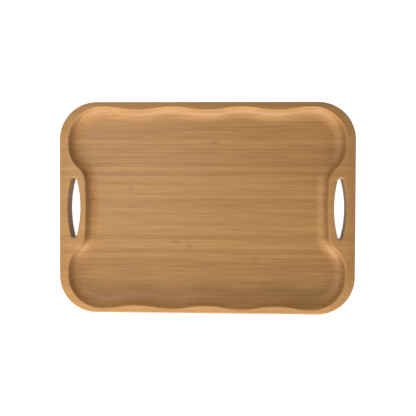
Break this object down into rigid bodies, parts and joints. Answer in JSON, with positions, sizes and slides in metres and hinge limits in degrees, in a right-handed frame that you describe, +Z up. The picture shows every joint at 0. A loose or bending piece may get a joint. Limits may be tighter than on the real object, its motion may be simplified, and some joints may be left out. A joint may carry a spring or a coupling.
{
  "type": "serving tray",
  "caption": "Rectangular bamboo tray with rounded corners, a sunk well with wavy long sides, and an oval hand slot through each end.",
  "frame": {"origin": "middle of the tray's footprint, on the surface that it stands on", "axes": "+X along the tray's length and its strips, towards one hand slot; +Y across the strips, towards the far long side; +Z up, out of the well"},
  "size_m": [0.45, 0.322, 0.02],
  "materials": {
    "bamboo": "satin clear lacquer over caramel-coloured bamboo"
  },
  "bodies": {
    "root": {"strip_01": "bamboo", "strip_02": "bamboo", "strip_03": "bamboo", "strip_04": "bamboo", "strip_05": "bamboo", "strip_06": "bamboo", "strip_07": "bamboo", "strip_08": "bamboo", "strip_09": "bamboo", "strip_10": "bamboo", "strip_11": "bamboo", "strip_12": "bamboo", "strip_13": "bamboo", "strip_14": "bamboo", "strip_15": "bamboo", "strip_16": "bamboo", "strip_17": "bamboo", "strip_18": "bamboo", "strip_19": "bamboo", "strip_20": "bamboo", "strip_21": "bamboo", "strip_22": "bamboo", "strip_23": "bamboo", "strip_24": "bamboo", "strip_25": "bamboo", "strip_26": "bamboo", "strip_27": "bamboo", "strip_28": "bamboo", "strip_29": "bamboo", "strip_30": "bamboo", "strip_31": "bamboo", "strip_32": "bamboo", "strip_33": "bamboo", "strip_34": "bamboo", "strip_35": "bamboo", "strip_36": "bamboo", "strip_37": "bamboo", "strip_38": "bamboo", "strip_39": "bamboo", "strip_40": "bamboo", "strip_41": "bamboo", "strip_42": "bamboo", "strip_43": "bamboo", "strip_44": "bamboo", "strip_45": "bamboo", "strip_46": "bamboo"}
  },
  "joints": []
}
